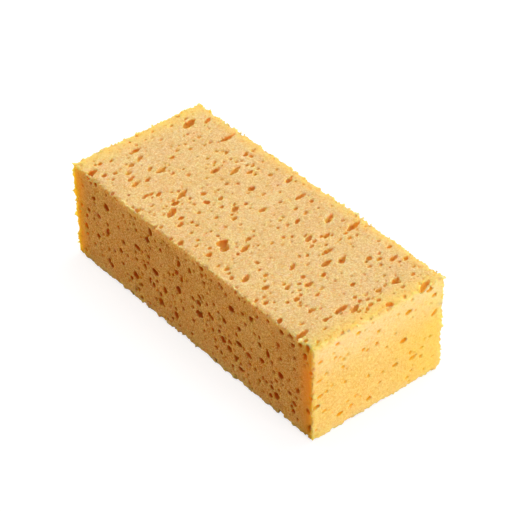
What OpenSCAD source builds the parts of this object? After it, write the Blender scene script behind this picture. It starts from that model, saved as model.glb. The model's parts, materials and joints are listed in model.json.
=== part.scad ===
// Cleaning sponge: a plain block cut from a loaf of open foam.
// The knife opens the foam's long bubbles, so every face is full of pores.
// Millimetres. The block rests on z = 0 with the middle of its underside at the origin.
// x runs along the block, y from its front face to its back face, and z upwards.

/* [Block] */
// Length of the block
block_length = 180; // [140:1:230]
// Width of the block, from front to back
block_width = 79; // [60:1:110]
// Height of the block as it lies
block_height = 55; // [40:1:75]
// Width of the flat that wear leaves along the edges
edge_wear = 0.6; // [0.2:0.1:2]

/* [Foam] */
// How far the bubbles turn from square across the block, seen from above
grain_turn = 18; // [-40:1:40]
// How steeply the bubbles rise towards the back
grain_rise = 8; // [-30:1:30]
// How far one bubble may turn away from the others
grain_stray = 12; // [0:1:30]
// Length of a bubble for each millimetre of its thickness
bubble_stretch = 2.4; // [1:0.1:4]
// Height of a bubble for each millimetre of its thickness
bubble_height = 1.5; // [0.6:0.1:2.5]
// How deep a bubble's middle lies under the face, for each millimetre of its thickness
bubble_sink = 0.12; // [-0.2:0.01:0.4]

/* [Scattered pores] */
// Thickness of the smallest pore
smallest_pore = 1.6; // [1:0.1:3]
// Thickness of the largest pore scattered between the listed ones
middling_pore = 2.4; // [2:0.1:5]
// Thickness of the largest pore on a face that has no listed ones
largest_pore = 4.6; // [3:0.1:8]
// Pores on each square centimetre of a face
pore_density = 0.46; // [0.1:0.01:0.8]
// Room kept between two pores, in shares of their own size
pore_room = 1.25; // [1:0.05:3]
// Number that picks the scatter
scatter_seed = 11; // [1:1:99]

/* [Crumbled edges] */
// Space between crumbs broken out along an edge
crumb_pitch = 24; // [12:1:60]
// Thickness of a large crumb
crumb_size = 3; // [1:0.1:6]
// Size of the chip out of the lower back corner at the right
corner_chip = 6; // [1:0.5:12]

/* [Hidden] */

block = [block_length, block_width, block_height];

// Outward directions of the faces. The first three face the photograph's viewer.
top = [0, 0, 1];
front = [0, -1, 0];
right_end = [1, 0, 0];
underside = [0, 0, -1];
back = [0, 1, 0];
left_end = [-1, 0, 0];

// Bubbles from this thickness up are modelled rounder than the others
large_from = 3.8;
large_sides = 8;
plain_sides = 6;

// The rings that shape a bubble from its blunt end to its pointed end: the place of each
// along the bubble and its thickness, both in shares of the bubble's own
large_rings = [[-0.5, 0.4], [-0.28, 0.9], [0.1, 0.96], [0.5, 0.3]];
plain_rings = [[-0.5, 0.5], [-0.05, 1], [0.5, 0.35]];

// The larger pores seen on the top. Each has its place in hundredths of the length and
// of the width, then its thickness and its length in millimetres.
top_pores = [
    [6, 81, 4.6, 9], [8, 92, 2.6, 6], [18, 90, 3.2, 9.5], [27, 88, 2.6, 4.6], [31, 72, 2.8, 8.6],
    [27.5, 63, 3.2, 7], [32, 84, 2, 4.6], [34, 78, 2.5, 4], [23, 80, 2, 4.6], [43.5, 91, 3, 5.6],
    [51, 86, 2.6, 8], [63, 85, 3.2, 8], [69.5, 91, 3.6, 9.6], [86, 89, 2.8, 6], [88, 94, 2.6, 3.6],
    [82, 78, 3, 3.2], [93, 76, 3.6, 5.4], [99, 86, 3.4, 9], [6.5, 38, 3, 8], [10, 35, 2.5, 5.4],
    [18, 38, 3.2, 6.6], [11, 27, 2.6, 4.4], [19, 26, 2.5, 4], [13.5, 21, 2.5, 4], [16, 18, 2.5, 4.2],
    [18.5, 18, 2.6, 6.6], [7, 3, 4, 8], [10, 8, 2.6, 3.6], [24.5, 15, 2.4, 6], [26, 22, 2.8, 4],
    [30, 33, 3, 9.6], [32, 24, 3.4, 4.8], [34.5, 17, 3.8, 8], [28, 3, 3, 4], [33.5, 43, 2.5, 4],
    [38, 48, 2.4, 4], [40, 68, 3.6, 4.2], [44, 48, 3.2, 5.6], [47, 42, 2.5, 4], [49, 60, 3, 4.6],
    [58.5, 69, 2.4, 5], [38, 18, 2.6, 4], [40, 14, 2.5, 5.2], [46, 3, 3, 4.2], [53, 22, 4.6, 6.4],
    [55, 20, 4.4, 5.6], [58.5, 29, 3, 6.8], [56, 36, 2.5, 4.6], [54.5, 9, 3.2, 3.8], [62, 9, 2.2, 4],
    [68, 73, 2.8, 4.6], [66, 63, 3, 5.6], [73, 64, 3, 7.6], [78, 65, 3.4, 6], [76.5, 56, 3.4, 6.4],
    [79.5, 48, 2.5, 3.6], [72, 39, 2.6, 5.6], [80, 36, 3, 5], [77.5, 25, 2.8, 4], [82.5, 22, 2.8, 4],
    [74, 15, 2.6, 4.4], [68, 12, 3.2, 6], [93.5, 5, 3.4, 8.6], [78.5, 7, 2.4, 4], [86, 3, 2.6, 3.8],
    [92.5, 36, 3.2, 9], [94.5, 42, 3, 7], [93, 63, 2.6, 4.4], [93, 23, 2.5, 4], [88, 22, 2.2, 3]
];

// The larger pores seen on the front: place in hundredths of the length and of the
// height, then length along the block and height in millimetres.
front_pores = [
    [15, 79, 4.4, 4.4], [9, 77, 2.2, 2.8], [11, 62, 3.4, 3.6], [6.5, 60, 3, 2.6], [15, 51, 2.6, 5],
    [22, 54, 3.6, 2.8], [20.5, 42, 3, 3.2], [10.5, 38, 3, 4.4], [5, 39, 2.8, 4.6], [28.5, 61, 4.8, 3],
    [15, 19, 2.6, 3.6], [27, 27, 4.2, 4.4], [29.5, 21, 3, 2.8], [28, 13, 2.6, 3], [25, 20, 2.5, 2.6],
    [34.5, 90, 3, 5.6], [33, 79, 2.4, 4.6], [33.5, 34, 2.2, 3.4], [31.5, 46, 2.2, 3.8], [36, 49, 4.6, 3.4],
    [40, 37, 3.2, 4.2], [38, 20, 4, 4.4], [38, 28, 2.5, 2.6], [46.5, 80, 3, 4.4], [46, 50, 4, 4.6],
    [45.5, 68, 3, 3], [47.5, 64, 2.8, 3], [44.5, 19, 3.4, 4.6], [51, 81, 2.5, 4], [56, 94, 3.4, 3],
    [55, 60, 2.8, 3], [54.5, 53, 4, 3.4], [52, 53, 2.2, 3.2], [54.5, 41, 5.6, 4], [52, 28, 2.6, 2.6],
    [59, 50, 2.5, 3], [65, 56, 3.4, 3.4], [64.5, 34, 3.8, 3.8], [67, 29, 3.8, 3.6], [68, 75, 4.8, 4],
    [76, 81, 3, 3.6], [71, 60, 3, 3.2], [71, 43, 4.2, 3.2], [75, 39, 4.2, 3], [69.5, 24, 2.5, 4.8],
    [71.5, 16, 3.6, 3], [82.5, 57, 2.8, 5], [80, 45, 4, 2.8], [87.5, 45, 3.8, 3.8], [86.5, 76, 3, 3],
    [86, 19, 4, 4.4], [84, 24, 2.5, 3], [88, 93, 3.4, 2.8], [91.5, 96, 3, 2.6], [95, 95, 3.2, 2.8],
    [92, 88, 2.6, 2.6], [97, 87, 2.6, 4.4], [94, 43, 2.8, 2.8], [91, 34, 2.8, 2.6], [92.5, 26, 2.6, 3.2],
    [92.5, 17, 2.4, 3], [98, 30, 3, 3.4], [98.5, 11, 2.5, 4.6], [63.5, 17, 2.6, 2.6]
];

// The larger pores seen on the right end: place in hundredths of the width and of the
// height, then length along the width and height in millimetres.
right_end_pores = [
    [18, 92, 3.8, 2], [34, 91, 4.4, 2.4], [72, 83, 4.2, 3], [88, 95, 4.4, 3.2], [10, 67, 2.8, 2],
    [5, 63, 3.4, 2], [69, 55, 4.8, 3.4], [6, 46, 3.4, 2.4], [3, 36, 6, 2.8], [63, 33, 4.8, 2.6],
    [77, 30, 5.2, 2.6], [43, 12, 3.6, 3], [21, 14, 4.4, 2.6], [29, 16, 3.4, 2], [38, 70, 2.4, 2.4],
    [9, 27, 3.6, 2], [57, 98, 3, 2.6], [92, 86, 3.6, 2.4]
];

// The crumbs seen broken out of the edges. Each has the direction of its edge from the
// middle of the block, its place along the edge in hundredths, and its thickness.
edge_crumbs = [
    [[0, -1, -1], 5, 3.4], [[0, -1, -1], 17, 3], [[0, -1, -1], 26, 2.6], [[0, -1, -1], 39, 3.4],
    [[0, -1, -1], 46, 5.4], [[0, -1, -1], 61, 4.4], [[0, -1, -1], 69, 4.4], [[0, -1, -1], 84, 3.6],
    [[0, -1, -1], 92, 3.2], [[0, 1, 1], 36, 3], [[0, 1, 1], 53.5, 4.6], [[0, 1, 1], 65.5, 3.8],
    [[1, 0, -1], 65, 4], [[1, 0, -1], 73, 4.6], [[1, 1, 0], 30, 4], [[-1, 1, 0], 55, 3]
];

// The two directions that span a face, lengthways first
function face_across(face) = face.x == 0 ? [1, 0, 0] : [0, 1, 0];
function face_up(face) = face.z == 0 ? [0, 0, 1] : [0, 1, 0];

// A vector taken share by share of the block's size
function of_block(v) = [v.x * block.x, v.y * block.y, v.z * block.z];

// The point on a face at a place given in hundredths
function on_face(face, pore) =
    of_block(face / 2 + (pore[0] / 100 - 1 / 2) * face_across(face) + (pore[1] / 100 - 1 / 2) * face_up(face))
    + [0, 0, block.z / 2];

// The bubble that leaves a pore of this size: its thickness along the block, its length
// along the grain, and its height. The grain runs into the front, so pores there are round.
function bubble_of(face, size) =
    face.z != 0 ? [size[0], size[1], bubble_height * size[0]]
    : face.y != 0 ? [size[0], bubble_stretch * max(size), size[1]]
    : [size[1], size[0], size[1]];

// The size of a scattered pore of one thickness, stretched as the grain crosses the face
function scattered_size(face, thickness, chance) =
    face.z != 0 ? [thickness, thickness * (1 + (bubble_stretch - 1) * chance)]
    : face.y != 0 ? [thickness * (1 + chance / 3), thickness * (4 - chance) / 3]
    : [thickness * (1 + chance), thickness];

// True where a pore keeps its room from each of the others on its face
function stands_clear(face, pore, others) =
    len([
        for (other = others)
            let (apart = (pore[0] - other[0]) / 100 * (block * face_across(face)))
            let (above = (pore[1] - other[1]) / 100 * (block * face_up(face)))
            if (norm([apart / (pore[2] + other[2]), above / (pore[3] + other[3])]) < pore_room / 2)
                1
    ]) == 0;

// Pores thrown at a face one after the other, the largest first. One stays where it is
// clear of those before it, as bubbles in foam push each other aside.
function thrown(face, largest, tries, chances, found, i = 0) =
    i >= tries ? found
    : let (thickness = smallest_pore + (largest - smallest_pore) * pow(1 - i / tries, 3))
      let (size = scattered_size(face, thickness, chances[3 * i + 2]))
      let (pore = [100 * chances[3 * i], 100 * chances[3 * i + 1], size[0], size[1]])
      thrown(face, largest, tries, chances,
             stands_clear(face, pore, found) ? concat(found, [pore]) : found, i + 1);

// All pores of a face: the listed ones and those scattered between them
function pores_of(face, listed, largest, seed) =
    let (area = (block * face_across(face)) * (block * face_up(face)) / 100)
    let (tries = max(round(area * pore_density) - len(listed), 0))
    thrown(face, largest, tries, rands(0, 1, 3 * tries + 3, seed), listed);

// One bubble of the foam, blunt at one end and pointed at the other
module bubble(size, stray = 0) {
    large = size.x >= large_from;
    rings = large ? large_rings : plain_rings;
    rotate([grain_rise, 0, grain_turn + stray * grain_stray])
        scale(size)
            hull()
                for (k = [0 : len(rings) - 2])
                    translate([0, rings[k][0], 0])
                        rotate([-90, 0, 0])
                            cylinder(h = rings[k + 1][0] - rings[k][0], d1 = rings[k][1],
                                     d2 = rings[k + 1][1], $fn = large ? large_sides : plain_sides);
}

// The block as cut, with its edges a little worn
module cut_block() {
    translate([0, 0, block_height / 2])
        hull() {
            cube(block - 2 * edge_wear * [0, 1, 1], center = true);
            cube(block - 2 * edge_wear * [1, 0, 1], center = true);
            cube(block - 2 * edge_wear * [1, 1, 0], center = true);
        }
}

// The bubbles that the knife opened on one face
module open_bubbles(face, pores) {
    for (i = [0 : len(pores) - 1]) {
        size = bubble_of(face, [pores[i][2], pores[i][3]]);
        translate(on_face(face, pores[i]) - face * bubble_sink * min(size))
            bubble(size, stray = sin(137 * i));
    }
}

// A crumb broken out of an edge, at a place along it in hundredths
module crumb(edge, place, size) {
    along = [for (part = edge) part == 0 ? 1 : 0];
    translate(of_block(edge / 2 + (place / 100 - 1 / 2) * along) + [0, 0, block_height / 2] + edge * size / 5)
        bubble([size, size, size], stray = sin(place));
}

// Crumbs along all twelve edges of the block
module scattered_crumbs() {
    edges = [
        for (a = [-1, 1])
            for (b = [-1, 1])
                each [[0, a, b], [a, 0, b], [a, b, 0]]
    ];
    for (k = [0 : len(edges) - 1]) {
        edge_length = block * [for (part = edges[k]) part == 0 ? 1 : 0];
        count = floor(edge_length / crumb_pitch);
        chances = rands(0, 1, 2 * count + 2, scatter_seed + k);
        for (i = [0 : count - 1])
            crumb(edges[k], 100 * (i + chances[2 * i]) / count, crumb_size * (2 + chances[2 * i + 1]) / 3);
    }
}

// The whole sponge
module sponge_block() {
    color("#efc387")
        difference() {
            cut_block();
            open_bubbles(top, pores_of(top, top_pores, middling_pore, scatter_seed + 1));
            open_bubbles(front, pores_of(front, front_pores, middling_pore, scatter_seed + 2));
            open_bubbles(right_end, pores_of(right_end, right_end_pores, middling_pore, scatter_seed + 3));
            open_bubbles(underside, pores_of(underside, [], largest_pore, scatter_seed + 4));
            open_bubbles(back, pores_of(back, [], largest_pore, scatter_seed + 5));
            open_bubbles(left_end, pores_of(left_end, [], largest_pore, scatter_seed + 6));
            scattered_crumbs();
            for (broken = edge_crumbs)
                crumb(broken[0], broken[1], broken[2]);
            translate([block_length / 2, block_width / 2, 0])
                bubble([corner_chip, corner_chip, corner_chip]);
        }
}

sponge_block();
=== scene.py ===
# %% [markdown]
# A cleaning sponge is a block cut from a loaf of open foam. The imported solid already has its
# true size, its worn edges and its larger pores. This lesson turns it into foam that can be
# looked at closely: it opens the small bubbles, makes every rim soft and uneven, tears the
# edges and gives the foam its grain and its warm colour. Everything stays in one frame: metres,
# the block resting on z = 0, x along it, y across it towards the back.

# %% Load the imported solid
import json
import math
import random

import bmesh
import bpy
from mathutils import Euler, Matrix, Quaternion, Vector

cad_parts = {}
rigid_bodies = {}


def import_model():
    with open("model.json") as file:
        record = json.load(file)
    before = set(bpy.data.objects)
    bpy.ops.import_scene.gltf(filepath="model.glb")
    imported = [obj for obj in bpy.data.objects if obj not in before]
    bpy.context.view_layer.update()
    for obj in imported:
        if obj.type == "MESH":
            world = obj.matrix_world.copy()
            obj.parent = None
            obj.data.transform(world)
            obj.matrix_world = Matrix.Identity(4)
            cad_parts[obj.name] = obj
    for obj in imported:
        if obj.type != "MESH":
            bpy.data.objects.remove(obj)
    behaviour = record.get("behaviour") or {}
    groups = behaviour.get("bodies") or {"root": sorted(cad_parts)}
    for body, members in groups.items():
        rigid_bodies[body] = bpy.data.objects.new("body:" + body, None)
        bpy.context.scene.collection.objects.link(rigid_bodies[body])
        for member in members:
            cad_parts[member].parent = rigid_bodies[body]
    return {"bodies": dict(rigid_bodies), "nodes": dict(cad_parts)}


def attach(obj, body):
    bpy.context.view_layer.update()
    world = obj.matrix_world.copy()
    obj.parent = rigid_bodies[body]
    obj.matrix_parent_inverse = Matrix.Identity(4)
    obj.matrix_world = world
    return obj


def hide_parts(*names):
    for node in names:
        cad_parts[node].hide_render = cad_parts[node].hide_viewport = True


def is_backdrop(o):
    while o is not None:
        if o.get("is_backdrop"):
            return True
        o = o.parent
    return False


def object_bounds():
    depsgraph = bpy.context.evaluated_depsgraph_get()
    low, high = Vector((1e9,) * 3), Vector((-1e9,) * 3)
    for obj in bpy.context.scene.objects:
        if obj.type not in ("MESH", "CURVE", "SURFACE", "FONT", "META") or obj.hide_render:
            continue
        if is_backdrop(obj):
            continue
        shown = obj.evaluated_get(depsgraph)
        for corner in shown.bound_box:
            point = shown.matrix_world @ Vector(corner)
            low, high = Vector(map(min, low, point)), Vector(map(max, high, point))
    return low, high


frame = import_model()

cad_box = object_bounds()
low, high = cad_box
block_size = high - low
block_middle = (low + high) / 2
MM = 0.001
CM = 0.01
print("block in mm", [round(side / MM, 2) for side in block_size])

# %% [markdown]
# The camera stands where the photographer stood. Its direction, distance and lens follow from
# the seven corners of the block that can be seen, and a long lens keeps the edges nearly
# parallel. Blender aims a camera down its own -Z axis, so a quaternion that tracks the block
# does the aiming, and a small turn about the view axis adds the roll.

# %% Camera
view_azimuth = math.radians(51.16)
view_elevation = math.radians(38.92)
view_roll = math.radians(-0.85)
view_distance = 5.8136 * block_size.x
view_aside = 0.00811 * block_size.x
view_lift = 0.0193 * block_size.x
film_width_mm = 36
lens_mm = 154.4
nearest_seen = 0.05
furthest_seen = 20

camera_back = Vector((
    math.sin(view_azimuth) * math.cos(view_elevation),
    -math.cos(view_azimuth) * math.cos(view_elevation),
    math.sin(view_elevation),
))
camera_turn = (-camera_back).to_track_quat("-Z", "Y") @ Quaternion((0, 0, 1), view_roll)
camera_data = bpy.data.cameras.new("camera")
camera_data.sensor_width = film_width_mm
camera_data.lens = lens_mm
camera_data.clip_start = nearest_seen
camera_data.clip_end = furthest_seen
camera = bpy.data.objects.new("camera", camera_data)
camera.rotation_mode = "QUATERNION"
camera.rotation_quaternion = camera_turn
camera.location = (
    Vector((0, 0, block_middle.z)) + camera_back * view_distance
    + camera_turn @ Vector((view_aside, view_lift, 0))
)
bpy.context.collection.objects.link(camera)
bpy.context.scene.camera = camera
print("camera", [round(c, 3) for c in camera.location])

# %% [markdown]
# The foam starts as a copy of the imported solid. Its triangles come loose, each with corners of
# its own, so the copy's doubles are merged first. Only a closed mesh can be cut or remeshed.

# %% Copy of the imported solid
merge_distance = 0.001 * MM


def link_mesh(name, bm):
    mesh = bpy.data.meshes.new(name)
    bm.to_mesh(mesh)
    bm.free()
    piece = bpy.data.objects.new(name, mesh)
    bpy.context.collection.objects.link(piece)
    return piece


def closed_copy(node_name, name):
    node = frame["nodes"][node_name]
    bm = bmesh.new()
    bm.from_mesh(node.data)
    bm.transform(node.matrix_world)
    bmesh.ops.remove_doubles(bm, verts=bm.verts, dist=merge_distance)
    open_edges = sum(not edge.is_manifold for edge in bm.edges)
    print(name, "faces", len(bm.faces), "open edges", open_edges)
    return link_mesh(name, bm)


foam = closed_copy("sponge_block", "foam_block")

# %% [markdown]
# Between the large pores the knife opened many small bubbles. They could be painted on, but a
# painted pore has no rim and no shade of its own, so each is a stretched ball that is cut out.
# The clearest of them are listed. Each has its place in hundredths of the length and of the width of
# its face, then its width and its height there in millimetres.

# %% Small pores that are listed one by one
top_pores = [
    (28.5, 89, 2.5, 2.5), (27, 94, 1.6, 3.5), (12.6, 77, 1.6, 3), (12.7, 65.5, 2, 2),
    (15.3, 65, 2, 3), (6.8, 57, 1.5, 3.5), (15.3, 51, 2, 3.5), (15.5, 33, 2, 4.5),
    (24.3, 47.5, 2, 2.8), (32.7, 33.5, 1.8, 2.5), (5.8, 20, 1.7, 3), (5, 13, 2, 3.4),
    (11, 14.5, 2.3, 2.8), (38.5, 86, 2, 3), (54.4, 88, 2, 3), (66, 90, 1.6, 3),
    (57.3, 77.7, 1.8, 3.2), (35.8, 65.3, 2, 2), (34, 59.5, 2, 2.8), (44, 56, 2, 2.6),
    (41, 43, 2, 2.4), (36.8, 38.8, 3.4, 3), (43.6, 34, 1.9, 2.8), (59.3, 22, 2, 2),
    (65, 25.5, 3, 2), (39, 29, 2, 2.6), (35.4, 31.8, 2, 2), (50, 23.5, 1.8, 2),
    (43, 20.7, 1.6, 3), (48, 12.3, 1.8, 2.2), (52.6, 13, 1.8, 3), (63.7, 6.7, 2, 2),
    (65.7, 5.3, 2.2, 3.2), (37.5, 3.3, 2, 2.6), (70.8, 67, 1.6, 2.4), (77, 37.5, 2.2, 3),
    (84.6, 33.5, 1.6, 3.4), (80.3, 28.5, 1.6, 2.6), (84, 21.5, 1.5, 2.6), (82, 16, 1.6, 3),
    (70.4, 22, 2, 3.2), (96, 2.5, 2, 3), (76.5, 3.5, 1.8, 3.4), (93.3, 48, 2, 3),
    (96, 51, 2, 3.4), (94, 52.5, 1.8, 2.8), (92.3, 55, 1.6, 3.5), (96, 57, 2, 3),
    (92.7, 69, 1.6, 3.5), (99, 59, 3, 4), (96, 75.5, 1.6, 3.2), (94, 87.7, 1.8, 3.5),
    (84, 82, 2, 3.8), (82.7, 74.7, 1.6, 3), (87.4, 54.7, 2.5, 3),
]
front_pores = [
    (8.3, 93.5, 2, 2), (10.4, 95.5, 2, 2), (15, 60.5, 2, 2), (20, 67, 2, 2), (23.5, 42.5, 2, 2),
    (27.7, 46.5, 2, 2), (32.8, 53, 2, 2), (15, 32, 2, 2), (8.4, 25, 2, 2), (16, 16, 2.2, 3),
    (26, 92, 2, 2), (46.3, 85.5, 2, 2), (57, 80, 2, 2), (42, 59.5, 2, 2), (58, 59, 2, 2),
    (60, 48, 2.7, 2.7), (63.5, 46, 2, 2), (63, 40, 2, 2), (36.7, 40, 2, 2), (35, 32.5, 1.8, 3.4),
    (67.5, 37, 3, 2.4), (44.4, 25, 2, 2), (47.8, 32.5, 2, 2), (61.5, 18, 2, 2), (63.5, 92.5, 2, 2),
    (64.5, 90.5, 2, 2), (72.7, 79.7, 2, 2), (73.8, 70.5, 2, 2), (77.5, 68, 2, 2), (79.6, 60.5, 2, 3),
    (84.3, 51.5, 2, 2), (87.7, 63, 2, 2), (92, 20.5, 2, 2), (94.3, 11.5, 2, 2), (83.8, 14, 2.6, 2.6),
    (84, 29, 2, 2), (82, 25, 2, 2), (80.7, 26.5, 2, 2), (86, 35.7, 2, 2), (73, 42, 2, 2),
    (75.5, 30, 2, 2), (98, 96, 3, 3.5),
]
end_pores = [
    (22.5, 64, 2, 2), (48, 68.5, 2, 2), (24.5, 46, 2, 2), (74.8, 37, 2, 2), (53, 33, 2, 2),
    (42, 38, 2, 2),
]
FRONT = (1, low.y)
TOP = (2, high.z)
RIGHT_END = (0, high.x)
placed_pores = {TOP: top_pores, FRONT: front_pores, RIGHT_END: end_pores}
print("pores placed by hand", sum(len(pores) for pores in placed_pores.values()))

# %% [markdown]
# Foam bubbles are stretched along the grain, which runs across the block here. So one kind of
# bubble looks long on the top, round on the front and flat on the end. The width and the height
# of a pore on its face give the size of the bubble below it. Each bubble strays a little from
# the grain, and sinks a little, so that its rim isn't its widest place.

# %% The bubble below a pore
grain_turn = math.radians(18)
grain_rise = math.radians(8)
grain_stray = math.radians(14)
top_depth_in_widths = 1.4
side_depth_in_widths = 2
pore_sink = 0.15
chance = random.Random(7)


def other_axes(axis):
    return [other for other in range(3) if other != axis]


def bubble_size(axis, wide, high_up):
    """The bubble's size along x, y and z that leaves a pore of this width and height on a face."""
    if axis == 2:
        return Vector((wide, high_up, top_depth_in_widths * wide))
    if axis == 1:
        return Vector((wide, side_depth_in_widths * max(wide, high_up), high_up))
    return Vector((high_up, wide, high_up))


def bubble_at(face, across, up, wide, high_up):
    """One bubble: its middle, its size and its turn away from the grain."""
    axis, side = face
    middle = Vector()
    middle[axis] = side
    first, second = other_axes(axis)
    middle[first] = low[first] + across * block_size[first]
    middle[second] = low[second] + up * block_size[second]
    size = bubble_size(axis, wide, high_up)
    middle += (block_middle - middle).normalized() * pore_sink * min(size)
    return middle, size, chance.uniform(-grain_stray, grain_stray)


example = bubble_size(TOP[0], 2 * MM, 3 * MM)
print("below a top pore of 2 by 3 mm", [round(side / MM, 1) for side in example])

# %% [markdown]
# The other pores are thrown at each face by a seeded rule, many small ones and few larger ones.
# A pore stays where it is clear of those before it on the same face. Two bubbles are clear of
# each other when their middles are 1.1 times the sum of their mean radii apart. A mean radius
# is a sixth of a bubble's three diameters together, hence the sixth in the value below.

# %% All small bubbles
face_kinds = ("end", "side", "top")
small_pores_per_cm2 = {"end": 3.5, "side": 9, "top": 5}
small_pore_width = (0.8 * MM, 1.9 * MM)
small_pore_stretch = (1.2, 2.2)
small_over_large = 2.5
side_stretch_power = 0.3
pore_room = 1.1 / 6


def faces_of_block():
    for axis in range(3):
        for side in (low[axis], high[axis]):
            yield axis, side


def random_pore(axis):
    """The width and height of a pore on an end, on a long side or on the top."""
    least, most = small_pore_width
    width = least + (most - least) * chance.random() ** small_over_large
    stretch = chance.uniform(*small_pore_stretch)
    on_end = (width * stretch, width)
    on_side = (width, width * stretch ** side_stretch_power)
    on_top = (width, width * stretch)
    return (on_end, on_side, on_top)[axis]


def room_between(bubble, other):
    """The way from one bubble's middle to the other's, as a share of their six diameters."""
    return (bubble[0] - other[0]).length / (sum(bubble[1]) + sum(other[1]))


def all_bubbles():
    bubbles = []
    for face in faces_of_block():
        axis = face[0]
        first, second = other_axes(axis)
        on_face = [
            bubble_at(face, across / 100, up / 100, wide * MM, high_up * MM)
            for across, up, wide, high_up in placed_pores.get(face, [])
        ]
        area_cm2 = block_size[first] * block_size[second] / CM ** 2
        tries = round(area_cm2 * small_pores_per_cm2[face_kinds[axis]])
        for _ in range(tries):
            bubble = bubble_at(face, chance.random(), chance.random(), *random_pore(axis))
            if all(room_between(bubble, other) > pore_room for other in on_face):
                on_face.append(bubble)
        bubbles.extend(on_face)
    return bubbles


bubbles = all_bubbles()
print("small bubbles", len(bubbles))

# %% [markdown]
# Foam never has a clean edge. Where the knife left the block it tore small bites out, and loose
# bits of cell wall stand proud of it. Both are balls again, stretched and turned at random along
# the twelve edges: the bites are cut away, and the bits are added where they don't touch the
# table. One larger tip stands on the back corner at the left.

# %% Bites and bits along the edges
bites_per_cm = 2.6
bite_width = (0.9 * MM, 3.2 * MM)
bite_offset = 0.25
bite_stretch = 1.6
bits_per_cm = 4.5
bit_width = (0.7 * MM, 1.6 * MM)
bit_offset = -0.25
bit_stretch = 1.4
offset_spread = (0.5, 1.5)
thin_over_thick = 2
tip_size = (2.2 * MM, 2.2 * MM, 3.4 * MM)
tip_shift = Vector((1, -1, -0.2)) * MM


def edges_of_block():
    """Each edge: the axis that it runs along, its first corner and the way out from the block."""
    for axis in range(3):
        first, second = other_axes(axis)
        for first_side in (low, high):
            for second_side in (low, high):
                corner = low.copy()
                corner[first] = first_side[first]
                corner[second] = second_side[second]
                out = corner - block_middle
                out[axis] = 0
                out[first] = math.copysign(1, out[first])
                out[second] = math.copysign(1, out[second])
                yield axis, corner, out.normalized()


def thrown_along_edges(per_cm, widths, offset, stretch):
    """Places for stretched balls: offset, in widths, moves them out of the block or into it."""
    least, most = widths
    places = []
    for axis, corner, out in edges_of_block():
        for _ in range(round(block_size[axis] / CM * per_cm)):
            width = least + (most - least) * chance.random() ** thin_over_thick
            middle = corner + out * width * offset * chance.uniform(*offset_spread)
            middle[axis] += chance.uniform(0, block_size[axis])
            turn = Euler([chance.uniform(0, math.pi) for _ in range(3)]).to_matrix().to_4x4()
            shape = Matrix.Diagonal((width, width * chance.uniform(1, stretch), width, 1))
            places.append(Matrix.Translation(middle) @ turn @ shape)
    return places


bites = thrown_along_edges(bites_per_cm, bite_width, bite_offset, bite_stretch)
bits = thrown_along_edges(bits_per_cm, bit_width, bit_offset, bit_stretch)
bits = [place for place in bits if place.translation.z > low.z + bit_width[1]]
tip_middle = Vector((low.x, high.y, high.z)) + tip_shift
bits.append(Matrix.Translation(tip_middle) @ Matrix.Diagonal((*tip_size, 1)))
print("bites", len(bites), "bits", len(bits))

# %% [markdown]
# All the balls are made by one operator. A mesh gets slower to add to as it grows, so they are
# made a handful at a time and then gathered. The bubbles and the bites are cut with a Boolean,
# and its Manifold solver takes a few thousand balls in one go.

# %% Cut the bubbles and the bites
handful = 30
unit_radius = 0.5
fine_ball = 2
plain_ball = 1


def balls(name, places, fineness):
    whole = bmesh.new()
    for start in range(0, len(places), handful):
        some = bmesh.new()
        for place in places[start:start + handful]:
            bmesh.ops.create_icosphere(
                some, subdivisions=fineness, radius=unit_radius, matrix=place
            )
        some_mesh = bpy.data.meshes.new("handful")
        some.to_mesh(some_mesh)
        some.free()
        whole.from_mesh(some_mesh)
        bpy.data.meshes.remove(some_mesh)
    return link_mesh(name, whole)


def bubble_place(middle, size, turn):
    lie = Matrix.Rotation(grain_turn + turn, 4, "Z") @ Matrix.Rotation(grain_rise, 4, "X")
    return Matrix.Translation(middle) @ lie @ Matrix.Diagonal((*size, 1))


def apply_modifiers(piece):
    depsgraph = bpy.context.evaluated_depsgraph_get()
    mesh = bpy.data.meshes.new_from_object(piece.evaluated_get(depsgraph))
    piece.modifiers.clear()
    piece.data = mesh
    print(piece.name, "vertices", len(mesh.vertices), "faces", len(mesh.polygons))


def cut_away(piece, cutter):
    cut = piece.modifiers.new("cut", "BOOLEAN")
    cut.operation = "DIFFERENCE"
    cut.solver = "MANIFOLD"
    cut.object = cutter
    apply_modifiers(piece)
    bpy.data.objects.remove(cutter)


bubble_places = [bubble_place(*bubble) for bubble in bubbles]
cut_away(foam, balls("small_bubbles", bubble_places, fine_ball))
cut_away(foam, balls("bites", bites, fine_ball))

# %% [markdown]
# A knife leaves foam with soft, torn rims. A bevel could round them, but it wants clean edges,
# and these are cut by thousands of balls. A voxel remesh rebuilds the whole skin from small
# cubes. It also joins the loose bits to the block, and a short smooth takes the steps off.

# %% One skin with soft rims
voxel = 0.4 * MM


def join(piece, other):
    bm = bmesh.new()
    bm.from_mesh(piece.data)
    bm.from_mesh(other.data)
    bm.to_mesh(piece.data)
    bm.free()
    bpy.data.objects.remove(other)


join(foam, balls("bits", bits, plain_ball))
remesh = foam.modifiers.new("one skin", "REMESH")
remesh.mode = "VOXEL"
remesh.voxel_size = voxel
soften = foam.modifiers.new("soft rims", "SMOOTH")
soften.factor = 0.5
soften.iterations = 2
apply_modifiers(foam)

# %% [markdown]
# A bit that was thrown over a bite hangs free in the air now. Walking from vertex to vertex
# along the edges of the mesh finds each connected part, and only the largest is kept.

# %% Drop what hangs free


def connected_parts(bm):
    seen = set()
    for start in bm.verts:
        if start in seen:
            continue
        seen.add(start)
        part = [start]
        for vertex in part:
            for edge in vertex.link_edges:
                other = edge.other_vert(vertex)
                if other not in seen:
                    seen.add(other)
                    part.append(other)
        yield part


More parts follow.
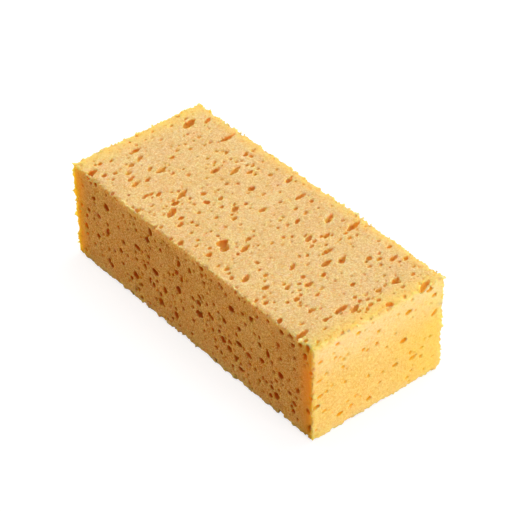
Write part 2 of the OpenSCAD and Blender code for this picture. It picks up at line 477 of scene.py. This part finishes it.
def keep_largest_part(piece):
    bm = bmesh.new()
    bm.from_mesh(piece.data)
    parts = sorted(connected_parts(bm), key=len)
    loose = [vertex for part in parts[:-1] for vertex in part]
    bmesh.ops.delete(bm, geom=loose, context="VERTS")
    bm.to_mesh(piece.data)
    bm.free()
    print(piece.name, "free parts dropped", len(parts) - 1)


keep_largest_part(foam)

# %% [markdown]
# The skin is never flat: broken cell walls stand up and cells sink in. Four Displace modifiers
# with Blender's own cloud noise do this. The cells are small, work everywhere and mostly eat
# inwards. The walls roughen the insides of the pores. The waves and the teeth work along the
# edges alone, where the foam crumbles. Two vertex groups say where: every vertex is marked by
# how near it lies to an edge and by how deep it lies in a pore. Each row below gives a noise's
# name, its size, its strength, the middle level at which it neither adds nor eats, and its group.

# %% Uneven skin
edge_reach = 2.4 * MM
pore_reach = 0.8 * MM
skin_noises = [
    ("cells", 0.9 * MM, 0.5 * MM, 0.75, ""),
    ("walls", 1.6 * MM, 1.8 * MM, 0.55, "pores"),
    ("waves", 3.0 * MM, 2.6 * MM, 0.6, "edges"),
    ("teeth", 1.0 * MM, 1.3 * MM, 0.55, "edges"),
]


def cloud_noise(name, size):
    noise = bpy.data.textures.new(name, "CLOUDS")
    noise.noise_scale = size
    noise.noise_depth = 1
    return noise


def displace(piece, name, size, strength, middle, group):
    push = piece.modifiers.new(name, "DISPLACE")
    push.texture = cloud_noise(name, size)
    push.texture_coords = "LOCAL"
    push.strength = strength
    push.mid_level = middle
    push.vertex_group = group


def mark_edges_and_pores(piece):
    edges = piece.vertex_groups.new(name="edges")
    pores = piece.vertex_groups.new(name="pores")
    for vertex in piece.data.vertices:
        inside = sorted(
            min(vertex.co[axis] - low[axis], high[axis] - vertex.co[axis]) for axis in range(3)
        )
        near_edge = 1 - max(inside[1], 0) / edge_reach
        if near_edge > 0:
            edges.add([vertex.index], near_edge, "REPLACE")
        in_pore = min(inside[0] / pore_reach, 1)
        if in_pore > 0:
            pores.add([vertex.index], in_pore, "REPLACE")


mark_edges_and_pores(foam)
for skin_noise in skin_noises:
    displace(foam, *skin_noise)
apply_modifiers(foam)

# %% [markdown]
# The remesh spends as many faces on a flat stretch as on a pore. Decimate takes them back where
# the skin is flat, so the piece stays light and the rims stay fine. Now and then it folds two
# faces onto the same corners, back to back, and such pairs are taken out. What would reach
# below the table is pressed flat on it, as the foam's own weight does.

# %% Fewer faces
triangle_limit = 190_000


def triangle_count(piece):
    return sum(len(face.vertices) - 2 for face in piece.data.polygons)


def drop_folded_pairs(piece):
    bm = bmesh.new()
    bm.from_mesh(piece.data)
    bmesh.ops.remove_doubles(bm, verts=bm.verts, dist=merge_distance)
    on_corners = {}
    for face in bm.faces:
        on_corners.setdefault(frozenset(face.verts), []).append(face)
    folded = [face for faces in on_corners.values() if len(faces) > 1 for face in faces]
    bmesh.ops.delete(bm, geom=folded, context="FACES")
    open_edges = sum(not edge.is_manifold for edge in bm.edges)
    bm.to_mesh(piece.data)
    bm.free()
    print(piece.name, "folded faces dropped", len(folded), "open edges", open_edges)


thin = foam.modifiers.new("fewer faces", "DECIMATE")
thin.ratio = min(1, triangle_limit / triangle_count(foam))
thin.use_collapse_triangulate = True
apply_modifiers(foam)
drop_folded_pairs(foam)
for vertex in foam.data.vertices:
    vertex.co.z = max(vertex.co.z, low.z)
for face in foam.data.polygons:
    face.use_smooth = True
print("triangles", triangle_count(foam))

# %% [markdown]
# A material is a net of nodes, and wiring it by hand takes many lines. This small helper adds a
# node, joins it to others and hands back its output, so that a material reads like a recipe.

# %% Helper for materials


class Wiring:
    """Adds nodes to a material or a world and joins them."""

    def __init__(self, owner):
        self.owner = owner
        owner.use_nodes = True
        self.tree = owner.node_tree
        self.shader = self.tree.nodes.get("Principled BSDF") or self.tree.nodes["Background"]

    def add(self, kind, settings=(), **sockets):
        node = self.tree.nodes.new(kind)
        for key, value in dict(settings).items():
            setattr(node, key, value)
        for key, value in sockets.items():
            self.set(node.inputs[key.replace("_", " ")], value)
        return node

    def set(self, socket, value):
        if isinstance(value, bpy.types.NodeSocket):
            self.tree.links.new(value, socket)
        else:
            socket.default_value = value

    def math(self, operation, *values):
        node = self.add("ShaderNodeMath", {"operation": operation})
        for socket, value in zip(node.inputs, values):
            self.set(socket, value)
        return node.outputs[0]

    def vector_math(self, operation, *values):
        node = self.add("ShaderNodeVectorMath", {"operation": operation})
        for socket, value in zip(node.inputs, values):
            self.set(socket, value)
        return node.outputs[0]

    def ramp(self, value, from_min, from_max, to_min=0, to_max=1):
        node = self.add("ShaderNodeMapRange", Value=value, From_Min=from_min, From_Max=from_max)
        self.set(node.inputs["To Min"], to_min)
        self.set(node.inputs["To Max"], to_max)
        return node.outputs[0]

    def mix(self, share, first, second):
        """A Mix node has sockets for each type of data, and 6, 7 and 2 are those for colours."""
        node = self.add("ShaderNodeMix", {"data_type": "RGBA"})
        self.set(node.inputs[0], share)
        self.set(node.inputs[6], first)
        self.set(node.inputs[7], second)
        return node.outputs[2]

    def seen(self):
        """1 where the camera sees it straight, mirrored or through glass, and 0 for other light."""
        path = self.add("ShaderNodeLightPath")
        seen = path.outputs["Is Camera Ray"]
        for ray in ("Is Glossy Ray", "Is Transmission Ray"):
            seen = self.math("MAXIMUM", seen, path.outputs[ray])
        return seen

    def tell(self):
        print(self.owner.name, "nodes", len(self.tree.nodes), "links", len(self.tree.links))


def rgb(red, green, blue):
    """A colour as it looks on a screen, 0 to 255, turned into the shader's linear numbers."""
    return (*(((part / 255 + 0.055) / 1.055) ** 2.4 for part in (red, green, blue)), 1)


print("middle grey in the shader's numbers", [round(part, 3) for part in rgb(128, 128, 128)])

# %% [markdown]
# Foam is a mesh of thin walls, so light goes in at one place and comes out, yellower, at another.
# Subsurface scattering does that. The colour itself is a warm tan that differs from face to face,
# partly as painted light and shade, with a painted shade of deeper orange down in the pores. How
# deep a point lies inside the block, and which face it belongs to, follow from its Object
# coordinates.

# %% Foam material: where a point lies
face_blend = 1.5 * MM
foam_look = Wiring(bpy.data.materials.new("foam"))
place = foam_look.add("ShaderNodeTexCoord").outputs["Object"]
off_middle = foam_look.vector_math("SUBTRACT", place, block_middle)
from_middle = foam_look.vector_math("ABSOLUTE", off_middle)
inside = foam_look.vector_math("SUBTRACT", block_size / 2, from_middle)
inside_xyz = foam_look.add("ShaderNodeSeparateXYZ", Vector=inside)
inside_x, inside_y, inside_z = inside_xyz.outputs
from_sides = foam_look.math("MINIMUM", inside_x, inside_y)
depth = foam_look.math("MINIMUM", from_sides, inside_z)
# Painted shade: in_pore says how much of the pores' painted shade a point gets.
in_pore = foam_look.ramp(depth, 0.1 * MM, 1.0 * MM)
standing_out = foam_look.ramp(depth, 0.0, -0.5 * MM)
below_top = foam_look.math("SUBTRACT", inside_z, from_sides)
on_side = foam_look.ramp(below_top, -face_blend, face_blend)
beyond_front = foam_look.math("SUBTRACT", inside_y, inside_x)
on_end = foam_look.ramp(beyond_front, -face_blend, face_blend)


def number_by_face(top, front, end):
    return foam_look.ramp(on_side, 0, 1, top, foam_look.ramp(on_end, 0, 1, front, end))


def colour_by_face(top, front, end):
    return foam_look.mix(on_side, top, foam_look.mix(on_end, front, end))


foam_look.tell()

# %% [markdown]
# Light shines through the thin foam next to an edge, and the colour there is painted yellower as
# painted light: on the top along its back and its two ends, on the long sides close to the ends, and
# on an end all round. A point is near an edge where the middle one of its three distances is small:
# the smallest says how far the nearest face is, and the middle one how far the next face is. Three
# more shares, used for the painted light in the colour, say how near a point lies to the top, to a
# long side's upper or lower rim, and to the far side of an end. Where the edges have crumbled, a
# pore gets hardly any of its painted shade.

# %% Foam material: near an edge
painted_glow_at_top_ends = 0.8
pore_shade_on_edges = 0.2
larger_side = foam_look.math("MAXIMUM", inside_x, inside_y)
smaller_of_two = foam_look.math("MINIMUM", larger_side, inside_z)
edge_distance = foam_look.math("MAXIMUM", from_sides, smaller_of_two)
near_edge = foam_look.ramp(edge_distance, 4.5 * MM, 0.5 * MM, to_max=0.6)
near_end = foam_look.ramp(inside_x, 12.0 * MM, 1.5 * MM)
place_xyz = foam_look.add("ShaderNodeSeparateXYZ", Vector=place)
near_back = foam_look.ramp(place_xyz.outputs["Y"], high.y - 7.0 * MM, high.y, to_max=0.8)
# Painted light: the next three shares say where an end is painted paler at its top, a long side
# paler along its rims and an end yellower towards its back.
painted_top_light_on_end = foam_look.ramp(place_xyz.outputs["Z"], high.z - 25.0 * MM, high.z, to_max=0.7)
painted_rim_light = foam_look.ramp(inside_z, 6.0 * MM, 0.5 * MM, to_max=0.7)
painted_back_light_on_end = foam_look.ramp(place_xyz.outputs["Y"], block_middle.y, high.y, to_max=0.6)
# Painted light: the shares below place a painted yellow glow along the thin edges.
ends_of_top = foam_look.math("MULTIPLY", near_end, painted_glow_at_top_ends)
painted_glow_on_top = foam_look.math("MAXIMUM", near_back, ends_of_top)
painted_glow_share = number_by_face(top=painted_glow_on_top, front=near_end, end=near_edge)
# Painted shade: by the crumbled edges the pores keep little of their painted shade.
crumbled = foam_look.ramp(edge_distance, 2.5 * MM, 1.0 * MM)
pore_shade_kept = foam_look.ramp(crumbled, 0, 1, 1, pore_shade_on_edges)
in_pore = foam_look.math("MULTIPLY", in_pore, pore_shade_kept)
foam_look.tell()

# %% [markdown]
# The finest cells are smaller than a triangle of the mesh. A Voronoi pattern, stretched along
# the grain, gives two sizes of them. Where a cell's middle lies near the skin it shows as a pit,
# and elsewhere the skin stays whole, so the pits come out in all sizes. A fine noise on top is
# the speckle of cell walls that catch the light.

# %% Foam material: cells and speckle
grain_squeeze = (1, 0.6, 1)
small_pit_share = 0.6
speckle_size = 0.7 * MM
patch_size = 16 * MM
patch_strength = 0.12
noise_dark = 0.3
noise_bright = 0.7
grain = foam_look.add("ShaderNodeMapping", Vector=place)
grain.inputs["Rotation"].default_value = (grain_rise, 0, grain_turn)
grain.inputs["Scale"].default_value = grain_squeeze


def pits(cell_size, radius, softness):
    """Radius and softness are shares of a cell, and within the radius a pit shows."""
    along_grain = grain.outputs["Vector"]
    cells = foam_look.add("ShaderNodeTexVoronoi", Vector=along_grain, Scale=1 / cell_size)
    return foam_look.ramp(cells.outputs["Distance"], radius, radius - softness)


def noise_share(size, to_min=0, to_max=1):
    noise = foam_look.add("ShaderNodeTexNoise", Vector=place, Scale=1 / size, Detail=2)
    return foam_look.ramp(noise.outputs[0], noise_dark, noise_bright, to_min, to_max)


small_pits = pits(1.2 * MM, radius=0.38, softness=0.12)
small_pits = foam_look.math("MULTIPLY", small_pits, small_pit_share)
large_pits = pits(2.6 * MM, radius=0.22, softness=0.07)
pit = foam_look.math("MAXIMUM", small_pits, large_pits)
speckle = noise_share(speckle_size)
patch = noise_share(patch_size, -patch_strength, patch_strength)
tone = foam_look.math("ADD", speckle, patch)
foam_look.tell()

# %% [markdown]
# The sponge isn't of one colour, partly by its own tone and partly by painted light and shade: its
# top is a pale tan, its long sides are painted a deeper orange, as in shade, and its ends more
# yellow, as where light comes through. So each face has two tones for its speckle, one for the
# painted glow at its thin edges and one for the painted shade in its pores. A long side is painted
# paler along its rims and has a painted glow, golden at the left and orange at the right. An end is
# painted paler towards the top and yellower towards the back. The bits that stand out of the skin
# are painted the palest, as if light came through them.

# %% Foam material: colour
# Painted light and shade: the long sides get deeper orange tones, as in shade, and the ends yellower
# ones, as where light comes through. A long side is painted paler along its rims, and an end paler
# at its top and yellower at its back.
top_skin = foam_look.mix(tone, rgb(226, 176, 110), rgb(250, 222, 162))
shaded_front_skin = foam_look.mix(tone, rgb(206, 141, 62), rgb(254, 214, 132))
shaded_front_skin = foam_look.mix(painted_rim_light, shaded_front_skin, rgb(255, 214, 126))
lit_end_skin = foam_look.mix(tone, rgb(234, 187, 94), rgb(250, 228, 150))
lit_end_skin = foam_look.mix(painted_back_light_on_end, lit_end_skin, rgb(250, 214, 92))
lit_end_skin = foam_look.mix(painted_top_light_on_end, lit_end_skin, rgb(248, 230, 184))
skin = colour_by_face(top_skin, shaded_front_skin, lit_end_skin)
to_right = foam_look.ramp(place_xyz.outputs["X"], low.x, high.x)
# Painted light: a yellow glow is painted on the thin foam by the edges, golden at the left of a long
# side and orange at its right.
painted_front_glow = foam_look.mix(to_right, rgb(253, 192, 58), rgb(250, 166, 60))
painted_glow = colour_by_face(rgb(254, 216, 114), painted_front_glow, rgb(252, 222, 140))
skin = foam_look.mix(painted_glow_share, skin, painted_glow)

# Painted shade: the pores and the pits are painted a deeper orange, most on the long sides and least
# on the ends. Near the edges the painted glow reaches into them as well.
pore_shade_colour = colour_by_face(rgb(240, 173, 80), rgb(222, 132, 42), rgb(250, 190, 62))
pore_shade_colour = foam_look.mix(painted_glow_share, pore_shade_colour, rgb(246, 172, 52))
pit_shade_by_face = number_by_face(top=0.6, front=0.9, end=0.35)
painted_pit_shade = foam_look.math("MULTIPLY", pit, pit_shade_by_face)
colour = foam_look.mix(foam_look.math("MAXIMUM", painted_pit_shade, in_pore), skin, pore_shade_colour)
# Painted light: the loose bits that stand out of the skin are painted the palest, as if lit through.
colour = foam_look.mix(standing_out, colour, rgb(255, 231, 172))
foam_look.set(foam_look.shader.inputs["Base Color"], colour)
foam_look.tell()

# %% [markdown]
# Pits and speckle also catch the light, so they go into the bump, which is a quarter of a
# millimetre deep. Red light travels furthest in foam and blue light hardly at all. On the long
# sides more of it comes through near the ends, and in loose bits it can't get far.

# %% Foam material: bump and scattering
speckle_height = 0.6
bump_strength = 0.5
bump_depth = 0.25 * MM
loose_share = 0.2
raised = foam_look.math("MULTIPLY", speckle, speckle_height)
height = foam_look.math("SUBTRACT", raised, pit)
bump = foam_look.add("ShaderNodeBump", Height=height, Strength=bump_strength, Distance=bump_depth)
foam_look.set(foam_look.shader.inputs["Normal"], bump.outputs["Normal"])
foam_look.shader.inputs["Subsurface Weight"].default_value = 0.9
foam_look.shader.inputs["Subsurface Radius"].default_value = (1.0, 0.55, 0.12)
side_reach = foam_look.ramp(near_end, 0, 1, 6 * MM, 22 * MM)
reach = number_by_face(top=5 * MM, front=side_reach, end=4 * MM)
whole_or_loose = foam_look.ramp(standing_out, 0, 1, 1, loose_share)
reach = foam_look.math("MULTIPLY", reach, whole_or_loose)
foam_look.set(foam_look.shader.inputs["Subsurface Scale"], reach)
foam_look.shader.inputs["Roughness"].default_value = 0.95
foam_look.shader.inputs["Specular IOR Level"].default_value = 0.1
foam.data.materials.clear()
foam.data.materials.append(foam_look.owner)
foam_look.tell()

# %% [markdown]
# The piece rides on the only body and stands for the imported solid, which is hidden. The piece
# rides on the only body, stands for the imported solid and is declared as padded, with a fill of
# 1, because foam is never slack.

# %% Tell the frame
body_name = list(frame["bodies"])[0]
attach(foam, body_name)
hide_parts("sponge_block")
print(foam.name, "rides on", body_name)

# %% [markdown]
# A white table, as in a plain studio. The camera sees it nearly white and with a faint shadow,
# because part of its white glows for the camera alone. The light that it sends back to the foam
# is warm, which keeps the shaded sides from turning grey.

# %% Floor
floor_size = 6.0
seen_colour = (0.35, 0.35, 0.35, 1)
bounce_colour = (0.74, 0.48, 0.22, 1)
seen_glow = 0.76


def make_floor():
    bm = bmesh.new()
    bmesh.ops.create_grid(bm, x_segments=1, y_segments=1, size=floor_size / 2)
    floor = link_mesh("floor", bm)
    floor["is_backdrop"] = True
    look = Wiring(bpy.data.materials.new("white_table"))
    look.shader.inputs["Roughness"].default_value = 1
    look.shader.inputs["Specular IOR Level"].default_value = 0
    seen = look.seen()
    look.set(look.shader.inputs["Base Color"], look.mix(seen, bounce_colour, seen_colour))
    look.set(look.shader.inputs["Emission Color"], (1, 1, 1, 1))
    look.set(look.shader.inputs["Emission Strength"], look.math("MULTIPLY", seen, seen_glow))
    floor.data.materials.append(look.owner)
    look.tell()


make_floor()
print("floor", floor_size, "m wide")

# %% [markdown]
# Soft lamps stand round the block. The one on the right makes the end the brightest side that
# the camera sees. Two lower ones on the left and at the back shine through the thin edges, one
# hangs above, and a weak warm one leaves the long front side in a soft shade. Each row below
# gives a lamp's name, its azimuth and elevation in degrees, its distance and size in metres, its
# power in watts and its colour.

# %% Lamps


def soft_lamp(name, azimuth, elevation, distance, size, power, colour):
    """A square area lamp that looks at the block.

    Azimuth 0 is in front of the long side, 90 beyond the right end and 180 at the back.
    """
    data = bpy.data.lights.new(name, "AREA")
    data.shape = "SQUARE"
    data.size = size
    data.energy = power
    data.color = colour
    lamp = bpy.data.objects.new(name, data)
    turn, rise = math.radians(azimuth), math.radians(elevation)
    away = Vector((
        math.sin(turn) * math.cos(rise),
        -math.cos(turn) * math.cos(rise),
        math.sin(rise),
    ))
    lamp.location = block_middle + away * distance
    lamp.rotation_mode = "QUATERNION"
    lamp.rotation_quaternion = away.to_track_quat("Z", "Y")
    bpy.context.collection.objects.link(lamp)
    print(name, "power in watts", power, "distance in metres", distance)


far_away = 2.4
wide_lamp = 1.2
white = (1.0, 1.0, 1.0)
nearly_white = (1.0, 1.0, 0.99)
cream = (1.0, 0.98, 0.92)
orange = (1.0, 0.5, 0.2)
soft_lamp("lamp_right", 95, 16, far_away, wide_lamp, 35.5, nearly_white)
soft_lamp("lamp_top", 190, 75, far_away, 1.8, 23.5, white)
soft_lamp("lamp_left", 275, 10, far_away, wide_lamp, 41.0, cream)
soft_lamp("lamp_back", 185, 10, far_away, wide_lamp, 34.0, cream)
soft_lamp("lamp_front", -70, 10, 0.35, 0.3, 0.08, orange)

# %% [markdown]
# Pale walls all round send a little light into the shade. The camera sees them as plain white,
# and the foam gets a little more than a quarter of that.

# %% Walls of the studio
wall_light = 0.28
wall_seen = 1.0
studio = Wiring(bpy.data.worlds.new("studio"))
studio.shader.inputs["Color"].default_value = (1, 1, 1, 1)
wall_strength = studio.ramp(studio.seen(), 0, 1, wall_light, wall_seen)
studio.set(studio.shader.inputs["Strength"], wall_strength)
bpy.context.scene.world = studio.owner
bpy.context.scene.view_settings.view_transform = "Standard"
studio.tell()

# %% [markdown]
# The sizes of the CAD block and of the finished foam are printed side by side. They may differ by
# the few loose bits of foam along the edges, and by no more.

# %% Sizes and finish
sizes = {
    "cad": [list(corner) for corner in cad_box],
    "visual": [list(corner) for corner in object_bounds()],
}
for name, box in sizes.items():
    print(name, "box in mm", [[round(number / MM, 2) for number in corner] for corner in box])
